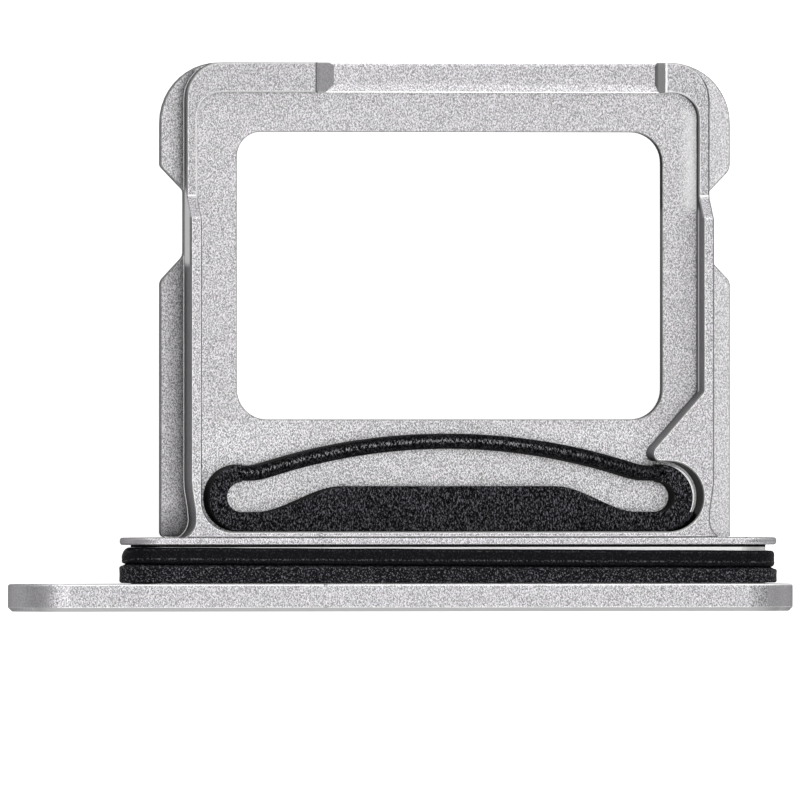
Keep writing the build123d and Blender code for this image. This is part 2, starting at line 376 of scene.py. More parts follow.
def grey(value, tint=(1.0, 1.0, 1.0)):
    """A colour of this linear brightness."""
    return (value * tint[0], value * tint[1], value * tint[2], 1.0)


def axis_parts(tree, vector):
    """The three parts of a vector."""
    outputs = node(tree, "SeparateXYZ", {0: vector}).outputs
    return outputs["X"], outputs["Y"], outputs["Z"]


def product(tree, *values):
    """All the values multiplied."""
    result = values[0]
    for value in values[1:]:
        result = math_node(tree, "MULTIPLY", result, value)
    return result


def largest(tree, *values):
    """The largest of the values."""
    result = values[0]
    for value in values[1:]:
        result = math_node(tree, "MAXIMUM", result, value)
    return result


def rest_of(tree, value):
    """What the value leaves of 1."""
    return math_node(tree, "SUBTRACT", 1.0, value)


def size_of(tree, value):
    """The value without its sign."""
    return math_node(tree, "ABSOLUTE", value)


def inside(tree, value, limits):
    """1 between the limits and 0 outside; each limit is where it is 0 and where it is 1."""
    low, high = limits
    return product(tree, ramp(tree, value, *low), ramp(tree, value, *high))


def close_to(tree, value, centre, limits):
    """A mask by the distance from a centre; the limits are where it is 0 and where it is 1."""
    return ramp(tree, size_of(tree, math_node(tree, "SUBTRACT", value, centre)), *limits)


def shader_group(name, inputs, outputs):
    """An empty shader node group with its sockets, and the nodes at its two ends.

    inputs and outputs map a socket's name to its kind.
    """
    tree = bpy.data.node_groups.new(name, "ShaderNodeTree")
    for sockets, way in ((inputs, "INPUT"), (outputs, "OUTPUT")):
        for socket, kind in sockets.items():
            tree.interface.new_socket(socket, in_out=way, socket_type="NodeSocket" + kind)
    return tree, tree.nodes.new("NodeGroupInput").outputs, tree.nodes.new("NodeGroupOutput").inputs


def place_group(tree, group, inputs):
    """A node of this group in a material, with its own values."""
    return node(tree, "Group", inputs, node_tree=group)


def fine_grain_group():
    """Fine irregular grain: specks for colour and a height for bump, both from 0 to 1."""
    tree, given, result = shader_group(
        "fine_grain",
        {"Point": "Vector", "Cells Per Metre": "Float", "Contrast": "Float"},
        {"Speck": "Float", "Height": "Float"},
    )
    layers = []
    for finer, roughness, share in GRAIN_LAYERS:
        cells = node(
            tree,
            "TexNoise",
            {
                "Vector": given["Point"],
                "Scale": product(tree, given["Cells Per Metre"], finer),
                "Detail": 1.0,
                "Roughness": roughness,
            },
        )
        layers.append(product(tree, cells.outputs[0], share))
    height = math_node(tree, "ADD", *layers)
    swung = product(tree, math_node(tree, "SUBTRACT", height, 0.5), given["Contrast"])
    tree.links.new(math_node(tree, "ADD", swung, 0.5, clamp=True), result["Speck"])
    tree.links.new(height, result["Height"])
    return tree


def edge_nearness_group():
    """How near a point is to an outer edge, from 0 on the flat to 1 on the edge."""
    tree, given, result = shader_group("edge_nearness", {"Reach": "Float"}, {"Nearness": "Float"})
    near = node(
        tree,
        "AmbientOcclusion",
        {"Distance": given["Reach"]},
        inside=True,
        only_local=True,
        samples=SHADE_SAMPLES,
    ).outputs["AO"]
    tree.links.new(ramp(tree, near, *EDGE_LEVELS), result["Nearness"])
    return tree


def crease_shade_group():
    """Darkening near whatever stands in a direction, from 1 in the open down to the darkest."""
    tree, given, result = shader_group(
        "crease_shade",
        {"Reach": "Float", "Darkest": "Float", "Toward": "Vector", "Open": "Float"},
        {"Shade": "Float"},
    )
    near = node(
        tree,
        "AmbientOcclusion",
        {"Distance": given["Reach"], "Normal": given["Toward"]},
        samples=SHADE_SAMPLES,
    ).outputs["AO"]
    # Half of what the open sees counts as fully closed
    closed = product(tree, given["Open"], 0.5)
    shade = ramp(tree, near, closed, given["Open"], given["Darkest"], 1.0, smooth=False)
    tree.links.new(shade, result["Shade"])
    return tree


# Materials


def empty_tree(owner):
    """The shader nodes of a material or of the world, emptied."""
    owner.use_nodes = True
    owner.node_tree.nodes.clear()
    return owner.node_tree


def new_material(name, roughness, metallic=0.0, specular=0.5, stretch=1.0):
    """A material with its Principled shader, and a point for its grain.

    A stretch below 1 draws the grain out along Y.
    """
    material = bpy.data.materials.new(name)
    tree = empty_tree(material)
    shader = node(
        tree,
        "BsdfPrincipled",
        {"Roughness": roughness, "Metallic": metallic, "Specular IOR Level": specular},
    )
    output = tree.nodes.new("ShaderNodeOutputMaterial")
    tree.links.new(shader.outputs[0], output.inputs["Surface"])
    place = tree.nodes.new("ShaderNodeTexCoord").outputs["Object"]
    # Turned askew, so that no flat face lies along the noise's own cells
    point = node(
        tree,
        "Mapping",
        {"Vector": place, "Rotation": GRAIN_TURN, "Scale": (1.0, stretch, 1.0)},
    ).outputs[0]
    return material, tree, shader, point


def add_bump(tree, shader, grain, depth, strength):
    """Gives the shader the grain's height as bump; the depth is in millimetres."""
    inputs = {"Height": grain.outputs["Height"], "Distance": depth * MM, "Strength": strength}
    tree.links.new(node(tree, "Bump", inputs).outputs[0], shader.inputs["Normal"])


def shade_near(tree, reach, darkest, toward, open_level):
    """A shade by how near something stands in a direction; the reach is in millimetres."""
    inputs = {"Reach": reach * MM, "Darkest": darkest, "Toward": toward, "Open": open_level}
    return place_group(tree, crease_shade, inputs).outputs["Shade"]


def darkened(tree, colour, share, shade, toward, open_level=OPEN_ROOM):
    """The colour, darkened where share is 1 near whatever stands in a direction.

    shade is its reach and its darkest level, open_level how much of the room a point in the open
    sees that way.
    """
    multiplied = mixed(
        tree, 1.0, colour, shade_near(tree, *shade, toward, open_level), blend="MULTIPLY"
    )
    return mixed(tree, share, colour, multiplied)


def tray_masks(tree):
    """Where on the metal tray a point is: place in millimetres, direction and the main masks."""
    surface = tree.nodes.new("ShaderNodeNewGeometry").outputs
    scaled = node(tree, "VectorMath", {0: surface["Position"], "Scale": 1 / MM}, operation="SCALE")
    at = SimpleNamespace(normal=surface["Normal"])
    at.x, at.y, at.z = axis_parts(tree, scaled.outputs["Vector"])
    at.turn_x, at.turn_y, at.turn_z = axis_parts(tree, at.normal)
    at.up = ramp(tree, at.turn_z, *UP_TILT)
    at.to_right = ramp(tree, at.turn_x, *ONWARD_TILT)
    at.carrier = ramp(tree, at.y, *CARRIER_Y)
    at.wall = product(tree, ramp(tree, size_of(tree, at.turn_z), *WALL_TILT), at.carrier)
    at.wall_left = product(tree, at.wall, ramp(tree, at.turn_x, *LEFTWARD_TILT))
    at.left_outside = ramp(tree, at.x, *LEFT_OUTSIDE_X)
    at.in_bay = ramp(tree, at.y, *BAY_Y)
    at.floor = product(tree, at.up, at.carrier, inside(tree, at.z, FLOOR_Z))
    at.wings = product(tree, at.up, at.carrier, ramp(tree, at.z, *WINGS_Z))
    at.in_groove = inside(tree, at.y, GROOVE_Y)
    # Where the painted shade line lies on the core along the flange
    at.dirt = product(tree, at.in_groove, ramp(tree, at.y, *FLANGE_SHADE_Y))
    return at


def wall_shades(tree, at, face):
    """Painted shade makes the walls darker than the blasted faces, most of all low down and round
    the spring.
    """
    wall_shade_share = ramp(tree, at.left_outside, 0.0, 1.0, *WALL_SHADE_SHARES)
    face = mixed(tree, product(tree, at.wall, wall_shade_share), face, grey(WALL_SHADE_GREY))
    face = darkened(tree, face, at.wall, WALL_SHADE, at.normal)
    bay_wall_shade = product(
        tree,
        at.wall,
        at.in_bay,
        ramp(tree, at.z, *BAY_WALL_Z),
        ramp(tree, at.turn_x, *BAY_WALL_TILT),
        rest_of(tree, at.left_outside),
    )
    face = mixed(tree, bay_wall_shade, face, grey(SHADED_WALL_GREY))
    low_wall_shade = product(
        tree,
        at.wall_left,
        ramp(tree, at.x, *LOW_WALL_X),
        inside(tree, at.y, LOW_WALL_Y),
        LOW_WALL_SHADE_SHARE,
    )
    return mixed(tree, low_wall_shade, face, grey(SHADED_WALL_GREY))


def top_tones(tree, at, face):
    """Light and shade on the pocket's floor, on top of the low rim and on the wings."""
    shaded = product(tree, at.floor, ramp(tree, at.y, *HIGH_RIM_Y))
    face = darkened(tree, face, shaded, FLOOR_SHADE, LIGHT_FROM, OPEN_ASIDE)
    lit = product(
        tree,
        at.floor,
        inside(tree, at.y, LIT_FLOOR_Y),
        ramp(tree, at.x, *LIT_FLOOR_X),
        LIT_FLOOR_SHARE,
    )
    face = mixed(tree, lit, face, grey(METAL_EDGE_AND_HIGHLIGHT))
    # Painted shade: the low rim's top is made a little darker, more so on the left outside
    rim_shade = ramp(tree, at.x, *LEFT_RIM_X, *RIM_SHADE_SHARES)
    rim_top = product(tree, at.up, at.carrier, inside(tree, at.z, RIM_TOP_Z), rim_shade)
    face = mixed(tree, rim_top, face, grey(0.0))
    # Painted light: the right wings are made a little lighter
    right_wings_lit = product(
        tree,
        at.up,
        ramp(tree, at.z, *WINGS_Z),
        ramp(tree, at.x, *RIGHT_WING_X),
        RIGHT_WING_LIT,
    )
    face = mixed(tree, right_wings_lit, face, grey(METAL_EDGE_AND_HIGHLIGHT))
    for shade in WING_SHADES:
        face = darkened(tree, face, product(tree, at.wings, at.left_outside), shade, at.normal)
    return face


def highlight_spots(tree, at, face):
    """Painted highlights in small places; gives the colour and where they are.

    One is a bright line at the rim's foot along the left wings. The other is the floor between the
    spring's right curl and the bay's wall, painted bright and then in painted shade.
    """
    foot = rest_of(tree, shade_near(tree, FOOT_LINE_REACH, 0.0, at.normal, OPEN_ROOM))
    foot = product(tree, foot, at.wings, at.left_outside)
    aside = math_node(tree, "SUBTRACT", at.x, BAY_MIDDLE[0])
    along = math_node(tree, "SUBTRACT", at.y, BAY_MIDDLE[1])
    from_middle = node(tree, "CombineXYZ", {0: aside, 1: along}).outputs[0]
    out = node(tree, "VectorMath", {0: from_middle}, operation="LENGTH").outputs["Value"]
    beyond = product(tree, at.floor, at.in_bay, ramp(tree, at.x, *CURL_FLOOR_X))
    shaded = product(tree, beyond, ramp(tree, out, *SLIVER_RADIUS))
    face = mixed(tree, shaded, face, grey(SLIVER_SHADE))
    painted_highlight = largest(tree, foot, math_node(tree, "SUBTRACT", beyond, shaded))
    return mixed(tree, painted_highlight, face, grey(METAL_EDGE_AND_HIGHLIGHT)), painted_highlight


def wall_reflections(tree, at):
    """Painted reflection on the walls: a wide paler band on the left outside between the wings, and
    a painted highlight line inside.
    """
    between = product(
        tree,
        at.wall_left,
        at.left_outside,
        inside(tree, at.z, OUTER_BAND_Z),
        inside(tree, at.y, OUTER_BAND_Y),
    )
    line = product(
        tree,
        at.wall_left,
        ramp(tree, at.x, *INNER_LINE_X),
        inside(tree, at.y, INNER_LINE_Y),
        inside(tree, at.z, INNER_LINE_Z),
        INNER_LINE_SHARE,
    )
    return largest(tree, between, line)


def edge_wear_light_and_shade(tree, at, face):
    """Edges light high up, partly rubbed and partly painted highlight, but painted dark as shade
    round the wings, the window and on the right outside.

    Gives the colour, how near a point is to an edge and where the edges are bright.
    """
    near_edge = place_group(tree, edge_nearness, {"Reach": EDGE_REACH * MM}).outputs["Nearness"]
    high = product(tree, ramp(tree, at.z, *HIGH_EDGE_Z), ramp(tree, at.x, *RIGHT_OUTSIDE_X))
    high = largest(tree, high, rest_of(tree, at.carrier))
    high = product(tree, high, close_to(tree, at.x, TROUGH_LEFT, TROUGH_LINE_CLEAR))
    shown = mixed(tree, high, grey(LOW_EDGE_SHADE), grey(METAL_EDGE_AND_HIGHLIGHT))
    return mixed(tree, near_edge, face, shown), near_edge, high


def bevels(tree, at, face):
    """Painted light and shade on the bevels: the high rim's in painted shade, the low rim's painted
    bright on the left and dark on the right, the lead's and the faceplate's front bevel in painted
    tones of their own.

    Gives the colour, where the bevels are and which of them are bright.
    """
    step = product(tree, ramp(tree, at.turn_y, *STEP_TILT), inside(tree, at.y, STEP_Y))
    bevel = product(tree, at.carrier, inside(tree, at.turn_z, BEVEL_TILT), rest_of(tree, step))
    low_rim = ramp(tree, at.z, *LOW_BEVEL_Z)
    on_rim = product(tree, low_rim, ramp(tree, at.z, *RIM_BEVEL_Z))
    lead = ramp(tree, size_of(tree, at.turn_y), *LEAD_TILT)
    right_side = ramp(tree, at.x, *RIGHT_RIM_X)
    in_trough = ramp(tree, at.y, *TROUGH_Y, 0.0, TROUGH_RAMP_SHARE)
    left_side = product(tree, rest_of(tree, right_side), largest(tree, at.to_right, in_trough))
    painted_highlight = product(tree, on_rim, rest_of(tree, lead), left_side)
    on_wing = ramp(tree, at.z, *WING_BEVEL_Z)
    shown = mixed(tree, painted_highlight, grey(BEVEL_SHADE_GREY), grey(METAL_EDGE_AND_HIGHLIGHT))
    painted_shade = mixed(
        tree, largest(tree, at.to_right, on_wing), grey(RIGHT_BEVEL_LIT_GREY), grey(DARK_BEVEL_SHADE_GREY)
    )
    shown = mixed(tree, product(tree, largest(tree, right_side, on_wing), low_rim), shown, painted_shade)
    outside = ramp(tree, at.turn_y, *ONWARD_TILT)
    lead_shown = mixed(tree, outside, grey(LEAD_INSIDE_LIT_GREY), grey(LEAD_OUTSIDE_SHADE_GREY))
    shown = mixed(tree, product(tree, lead, on_rim), shown, lead_shown)
    face = mixed(tree, bevel, face, shown)
    front = product(
        tree,
        ramp(tree, at.turn_y, *FRONT_TILT),
        ramp(tree, at.turn_z, *FRONT_UP_TILT),
        ramp(tree, at.y, *FRONT_Y),
    )
    return mixed(tree, front, face, grey(FRONT_BEVEL_SHADE_GREY)), bevel, painted_highlight


def shade_and_highlight_lines(tree, at, face):
    """Painted shade as a dark line at the trough's left foot, painted highlights as bright lines at
    its right top and the rim's steps.

    Gives the colour and the bright lines.
    """
    on_lead = ramp(tree, at.y, *LEAD_Y)
    painted_shade = product(tree, close_to(tree, at.x, TROUGH_LEFT, SHADE_LINE), on_lead, at.up)
    face = mixed(tree, painted_shade, face, grey(SHADE_LINE_GREY))
    right = product(tree, close_to(tree, at.x, TROUGH_RIGHT, HIGHLIGHT_LINE), on_lead, at.up)
    step = product(
        tree,
        close_to(tree, at.y, STEP_LINE, HIGHLIGHT_LINE),
        ramp(tree, at.z, *STEP_LINE_Z),
        at.up,
    )
    line_highlights = largest(tree, step, right)
    return mixed(tree, line_highlights, face, grey(METAL_EDGE_AND_HIGHLIGHT)), line_highlights


def edge_glint(tree, at, near_edge, bevel, bevel_highlight):
    """How much painted glint the edges get: those near an edge and the bright bevels, the
    faceplate's, the flange's and the groove's core.
    """
    rounded = product(
        tree,
        ramp(tree, size_of(tree, at.turn_y), *LEAD_TILT),
        ramp(tree, at.turn_z, *ROUNDED_TILT),
        inside(tree, at.y, ROUNDED_Y),
        ramp(tree, at.y, *GROOVE_END_Y, 1.0, FLANGE_GLINT),
    )
    open_edge_glint = product(
        tree,
        near_edge,
        rest_of(tree, bevel),
        inside(tree, at.turn_y, OPEN_EDGE_TILT),
    )
    open_edge_glint = largest(tree, open_edge_glint, product(tree, bevel, bevel_highlight, BEVEL_HIGHLIGHT_GLINT))
    open_edge_glint = product(tree, open_edge_glint, ramp(tree, at.y, *LEAD_GLINT_Y, 1.0, LEAD_GLINT))
    return largest(tree, rounded, open_edge_glint, product(tree, at.in_groove, CORE_GLINT))


def blasted_metal():
    """Bead-blasted, clear-anodised aluminium: fine sparkling grain, its edges partly rubbed bright,
    and painted light and shade over much of it.
    """
    material, tree, shader, point = new_material(
        "blasted_metal", METAL_ROUGHNESS, metallic=1.0, stretch=METAL_GRAIN_STRETCH
    )
    at = tray_masks(tree)
    grain = place_group(
        tree,
        fine_grain,
        {
            "Point": point,
            "Cells Per Metre": METAL_CELLS_PER_METRE,
            "Contrast": METAL_GRAIN_CONTRAST,
        },
    )
    # The grain sparkles where a surface faces up, front or back; on the flanks it mostly gives way
    # to a plain painted shade, darker where they face left
    flank = ramp(tree, size_of(tree, at.turn_x), *FLANK_TILT, 0.0, FLANK_SHADE_SHARE)
    plain = ramp(tree, at.turn_x, *ONWARD_TILT, *FLANK_SHADE_LEVELS)
    speck = mixed(tree, flank, grain.outputs["Speck"], plain)
    face = mixed(tree, speck, grey(METAL_DARK, METAL_TINT), grey(METAL_LIGHT, METAL_TINT))
    face = wall_shades(tree, at, face)
    face = top_tones(tree, at, face)
    face, painted_highlight = highlight_spots(tree, at, face)
    # The core in the gasket's groove is painted light, with a painted shade line along the flange
    face = mixed(tree, at.in_groove, face, grey(METAL_EDGE_AND_HIGHLIGHT))
    face, near_edge, high = edge_wear_light_and_shade(tree, at, face)
    face, bevel, bevel_highlight = bevels(tree, at, face)
    face, line_highlights = shade_and_highlight_lines(tree, at, face)
    # Painted shade: a dark line on the core along the flange's foot
    face = mixed(tree, at.dirt, face, grey(FLANGE_SHADE_GREY))
    tree.links.new(face, shader.inputs["Base Color"])
    smoother = product(tree, near_edge, RUB_SMOOTHER)
    tree.links.new(
        math_node(tree, "SUBTRACT", METAL_ROUGHNESS, smoother), shader.inputs["Roughness"]
    )
    # Painted glint: emission lights up the edges, the highlight spots, the walls' reflection bands,
    # the bright lines and the floor round the spring
    edges = product(
        tree,
        edge_glint(tree, at, near_edge, bevel, bevel_highlight),
        high,
        ramp(tree, at.turn_x, *GLINT_TILT),
        rest_of(tree, at.dirt),
    )
    # Painted light: the floor round the spring sparkles more than its dark surroundings would let
    # it
    round_spring_glint = product(
        tree, at.floor, ramp(tree, at.y, *ROUND_SPRING_Y), speck, ROUND_SPRING_GLINT
    )
    glint = largest(
        tree,
        edges,
        product(tree, painted_highlight, SPOT_HIGHLIGHT_GLINT),
        product(tree, wall_reflections(tree, at), BAND_GLINT),
        product(tree, line_highlights, LINE_GLINT),
        round_spring_glint,
    )
    tree.links.new(mixed(tree, glint, grey(0.0), grey(1.0)), shader.inputs["Emission Color"])
    shader.inputs["Emission Strength"].default_value = METAL_EDGE_GLINT
    # Seen almost edge-on, the walls mirror little of the room
    shader.inputs["Specular Tint"].default_value = grey(METAL_GRAZING)
    add_bump(tree, shader, grain, METAL_BUMP, METAL_BUMP_STRENGTH)
    return material


def moulded_black(
    name, roughness, specular, cells, stretch, darkest, lightest, power, line, shaded_walls
):
    """Moulded black with the fine leathery skin of its mould, and paler where a painted sheen lies.

    The piece's own attributes say where: one is its painted sheen, how strongly a painted highlight
    lightens it, and skin is how strong the specks are. stretch draws the specks out along Y, line
    is how light a full sheen is, and the last argument puts a plain painted shade on the upright
    sides in place of the specks and takes the shine off them.
    """
    material, tree, shader, point = new_material(
        name, roughness, specular=specular, stretch=stretch
    )
    grain = place_group(
        tree,
        fine_grain,
        {"Point": point, "Cells Per Metre": cells, "Contrast": BLACK_GRAIN_CONTRAST},
    )
    speck = math_node(tree, "POWER", grain.outputs["Speck"], power)
    up = axis_parts(tree, tree.nodes.new("ShaderNodeNewGeometry").outputs["Normal"])[2]
    # Painted shade: the upright sides get a plain dark tone in place of the specks, and no shine
    wall = ramp(tree, size_of(tree, up), *BLACK_WALL_TILT, 0.0, shaded_walls)
    skin_share = node(tree, "Attribute", attribute_name="skin").outputs["Fac"]
    speck = product(tree, speck, skin_share, rest_of(tree, wall))
    skin = mixed(tree, speck, grey(darkest, BLACK_TINT), grey(lightest, SPECK_TINT))
    skin = mixed(tree, wall, skin, grey(BLACK_WALL_SHADE))
    # Painted sheen, a painted highlight, broken up by the grain
    painted_sheen = node(tree, "Attribute", attribute_name="painted_sheen").outputs["Fac"]
    broken = product(tree, painted_sheen, ramp(tree, grain.outputs["Speck"], *SHEEN_BREAKS))
    colour = mixed(tree, broken, skin, grey(line, SHEEN_TINT))
    tree.links.new(colour, shader.inputs["Base Color"])
    tree.links.new(ramp(tree, wall, 0.0, 1.0, roughness, 1.0), shader.inputs["Roughness"])
    add_bump(tree, shader, grain, BLACK_BUMP, BLACK_BUMP_STRENGTH)
    return material


def dress(name, material):
    """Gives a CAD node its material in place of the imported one."""
    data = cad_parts[name].data
    data.materials.clear()
    data.materials.append(material)


# Camera, floor and light


def add_object(name, data):
    """A new object in the scene."""
    made = bpy.data.objects.new(name, data)
    bpy.context.scene.collection.objects.link(made)
    return made


def make_camera():
    """A camera a long way off, so that the view is almost free of perspective."""
    data = bpy.data.cameras.new("camera")
    data.lens = CAMERA_LENS
    data.sensor_width = CAMERA_SENSOR
    data.clip_start, data.clip_end = (distance * MM for distance in CAMERA_CLIP)
    camera = add_object("camera", data)
    back = Vector((-math.sin(CAMERA_LEAN), 0.0, math.cos(CAMERA_LEAN)))
    camera.location = (Vector(CAMERA_AIM) + back * CAMERA_DISTANCE) * MM
    camera.rotation_euler = (0.0, -CAMERA_LEAN, 0.0)
    bpy.context.scene.camera = camera


def make_floor():
    """White table top, lifted to paper white where the camera sees it."""
    mesh = bpy.data.meshes.new("floor")
    half = FLOOR_HALF * MM
    corners = [(x * half, y * half, FLOOR_HEIGHT * MM) for x, y in SQUARE]
    mesh.from_pydata(corners, [], [(0, 1, 2, 3)])
    floor = add_object("floor", mesh)
    material = bpy.data.materials.new("floor_white")
    tree = empty_tree(material)
    seen = tree.nodes.new("ShaderNodeLightPath").outputs["Is Camera Ray"]
    white = mixed(tree, seen, grey(FLOOR_REFLECTED), grey(FLOOR_SEEN))
    plain = node(tree, "BsdfDiffuse", {"Color": white})
    lift = node(
        tree,
        "Emission",
        {"Color": grey(1.0), "Strength": product(tree, seen, FLOOR_LIFT)},
    )
    both = node(tree, "AddShader", {0: plain.outputs[0], 1: lift.outputs[0]})
    output = tree.nodes.new("ShaderNodeOutputMaterial")
    tree.links.new(both.outputs[0], output.inputs["Surface"])
    mesh.materials.append(material)


def make_room():
    """Grey room with a bright band of soft light from front to back over the object.

    The band's sides are given by how far a direction leans to the left or right, and it is
    brighter towards the front and the back. Where the camera sees past the floor it is white.
    """
    world = bpy.data.worlds.new("room")
    tree = empty_tree(world)
    toward = tree.nodes.new("ShaderNodeTexCoord").outputs["Generated"]
    aside, along = axis_parts(tree, toward)[:2]
    band = inside(
        tree,
        aside,
        (
            (SKY_LEFT - SKY_BLUR, SKY_LEFT + SKY_BLUR),
            (SKY_RIGHT + SKY_BLUR, SKY_RIGHT - SKY_BLUR),
        ),
    )
    ends = ramp(tree, size_of(tree, along), SKY_ENDS_FROM, SKY_ENDS_TO, SKY_RADIANCE, SKY_ENDS)
    sky = mixed(tree, band, grey(ROOM_GREY), ends)
    seen = tree.nodes.new("ShaderNodeLightPath").outputs["Is Camera Ray"]
    background = node(tree, "Background", {"Color": mixed(tree, seen, sky, grey(1.0))})
    output = tree.nodes.new("ShaderNodeOutputWorld")
    tree.links.new(background.outputs[0], output.inputs["Surface"])
    bpy.context.scene.world = world


def make_light():
    """One large soft box overhead."""
    data = bpy.data.lights.new("soft_box", "AREA")
    data.shape = "SQUARE"
    data.size = LIGHT_SIZE * MM
    data.energy = LIGHT_RADIANCE * math.pi * (LIGHT_SIZE * MM) ** 2
    light = add_object("soft_box", data)
    light.location = (0.0, CAMERA_AIM[1] * MM, LIGHT_HEIGHT * MM)
    light.visible_camera = False


def make_lamp():
    """Soft lamp beside the camera, which leaves walls dark and lights what the camera sees into."""
    data = bpy.data.lights.new("camera_lamp", "SUN")
    data.angle = LAMP_SPREAD
    data.energy = LAMP_STRENGTH
    lamp = add_object("camera_lamp", data)
    lamp.rotation_euler = (0.0, -LAMP_LEAN, 0.0)


# Moulded pieces


def finish_mesh(name, bm, material, node_name, painted_sheen=None, skin=None):
    """Turns mesh data in millimetres into a smooth piece that stands for a CAD node.

    The last two arguments give each point's painted sheen and how strong its specks are, in the
    order in which the points were made.
    """
    bmesh.ops.scale(bm, vec=(MM, MM, MM), verts=bm.verts)
    bmesh.ops.recalc_face_normals(bm, faces=bm.faces)
    mesh = bpy.data.meshes.new(name)
    bm.to_mesh(mesh)
    bm.free()
    count = len(mesh.vertices)
    for attribute, values in (("painted_sheen", painted_sheen or [0.0] * count), ("skin", skin or [1.0] * count)):
        mesh.attributes.new(attribute, "FLOAT", "POINT").data.foreach_set("value", values)
    mesh.shade_smooth()
    mesh.set_sharp_from_angle(angle=SHARP_FROM)
    mesh.materials.append(material)
    piece = add_object(name, mesh)
    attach(piece, "root")
    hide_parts(node_name)
    return piece


def arc(centre, radius, start, end, steps):
    """Points along an arc, from one angle to the other, both ends included."""
    return [
        (
            centre[0] + radius * math.cos(start + (end - start) * k / steps),
            centre[1] + radius * math.sin(start + (end - start) * k / steps),
        )
        for k in range(steps + 1)
    ]


def eased(start, end, steps):
    """Points along an S-shaped slope that leaves and arrives level, both ends left out."""
    points = []
    for k in range(1, steps):
        along = k / steps
        across = along * along * (3 - 2 * along)
        points.append(
            (start[0] + (end[0] - start[0]) * along, start[1] + (end[1] - start[1]) * across)
        )
    return points


def inset(loop, amount):
    """The closed outline moved inwards; it runs with its inside on the left."""
    moved = []
    for before, here, after in zip(loop[-1:] + loop[:-1], loop, loop[1:] + loop[:1]):
        one = Vector((here[0] - before[0], here[1] - before[1])).normalized()
        two = Vector((after[0] - here[0], after[1] - here[1])).normalized()
        normal = Vector((-one.y - two.y, one.x + two.x))
        # At a sharp corner the point moves no further than this allows
        normal /= max(normal.length_squared / 2, SHARP_CORNER)
        moved.append((here[0] + normal.x * amount, here[1] + normal.y * amount))
    return moved


def join_rings(bm, rings):
    """Joins rings of points, each to the next, by a closed band of faces."""
    for one, two in zip(rings, rings[1:]):
        for k in range(len(one)):
            after = (k + 1) % len(one)
            bm.faces.new((one[k], one[after], two[after], two[k]))


def rounded_prism(loop, low, high, radius, steps):
    """A solid with this outline, standing from low to high, with its top edge rounded."""
    bm = bmesh.new()
    levels = [(0.0, low), (0.0, high - radius)]
    for k in range(1, steps + 1):
        turn = math.pi / 2 * k / steps
        levels.append((radius * (1 - math.cos(turn)), high - radius * (1 - math.sin(turn))))
    rings = []
    for back, height in levels:
        outline = inset(loop, back) if back else loop
        rings.append([bm.verts.new((x, y, height)) for x, y in outline])
    join_rings(bm, rings)
    for ring, order in ((rings[-1], 1), (rings[0], -1)):
        flat = [Vector((corner.co.x, corner.co.y)) for corner in ring]
        filled = geometry.delaunay_2d_cdt(flat, [], [list(range(len(flat)))], 1, SAME_POINT)
        for triangle in filled[2]:
            bm.faces.new([ring[filled[3][k][0]] for k in triangle][::order])
    return bm


def spring_outline():
    """Base with its hump and the two curls, seen from above, inside on the left."""
    middle_y = BASE_REAR + CURL_RADIUS
    bore = (CURL_TOP - CURL_THICK - BASE_TOP) / 2
    bore_y = BASE_TOP + bore
    quarter = math.pi / 2
    loop = []
    for k in range(BASE_STEPS):
        loop.append((CURL_LEFT + (CURL_RIGHT - CURL_LEFT) * k / BASE_STEPS, BASE_REAR))
    loop += arc((CURL_RIGHT, middle_y), CURL_RADIUS, -quarter, quarter, CURL_STEPS)
    loop += reversed(arc((CURL_RIGHT, bore_y), bore, -quarter, quarter, BORE_STEPS))
    loop += eased((HUMP_TO + HUMP_RIGHT_SLOPE, BASE_TOP), (HUMP_TO, HUMP_TOP), SLOPE_STEPS)
    for k in range(HUMP_STEPS + 1):
        loop.append((HUMP_TO + (HUMP_FROM - HUMP_TO) * k / HUMP_STEPS, HUMP_TOP))
    loop += eased((HUMP_FROM, HUMP_TOP), (HUMP_FROM - HUMP_LEFT_SLOPE, BASE_TOP), SLOPE_STEPS)
    loop += reversed(arc((CURL_LEFT, bore_y), bore, quarter, 3 * quarter, BORE_STEPS))
    loop += arc((CURL_LEFT, middle_y), CURL_RADIUS, quarter, 3 * quarter, CURL_STEPS)[:-1]
    return loop


def leaf_line():
    """Points and directions along the middle of the bowed leaf, from the left curl to the right."""
    half = LEAF_THICK / 2
    rise = LEAF_APEX[1] - LEAF_SHOULDER
    reach = min(LEAF_APEX[0] - CURL_LEFT, CURL_RIGHT - LEAF_APEX[0]) - LEAF_LEVEL_RUN
    centres = (reach**2 + rise**2) / (2 * rise)
    swing = math.asin(reach / centres)
    bow = centres - LEAF_BLEND
    bow_centre = (LEAF_APEX[0], LEAF_APEX[1] - bow)
    line = []
    for side, curl in ((-1, CURL_LEFT), (1, CURL_RIGHT)):
        level = LEAF_APEX[0] + side * reach
        end = curl + side * LEAF_ROOT
        part = [
            (end + (level - end) * k / LEAF_END_STEPS, LEAF_SHOULDER - half)
            for k in range(LEAF_END_STEPS)
        ]
        for k in range(LEAF_BLEND_STEPS):
            turn = swing * k / LEAF_BLEND_STEPS
            part.append(
                (
                    level - side * (LEAF_BLEND + half) * math.sin(turn),
                    LEAF_SHOULDER + LEAF_BLEND - (LEAF_BLEND + half) * math.cos(turn),
                )
            )
        if side < 0:
            line += part
            quarter = math.pi / 2
            line += arc(bow_centre, bow - half, quarter + swing, quarter - swing, LEAF_STEPS)
        else:
            line += reversed(part)
    return line


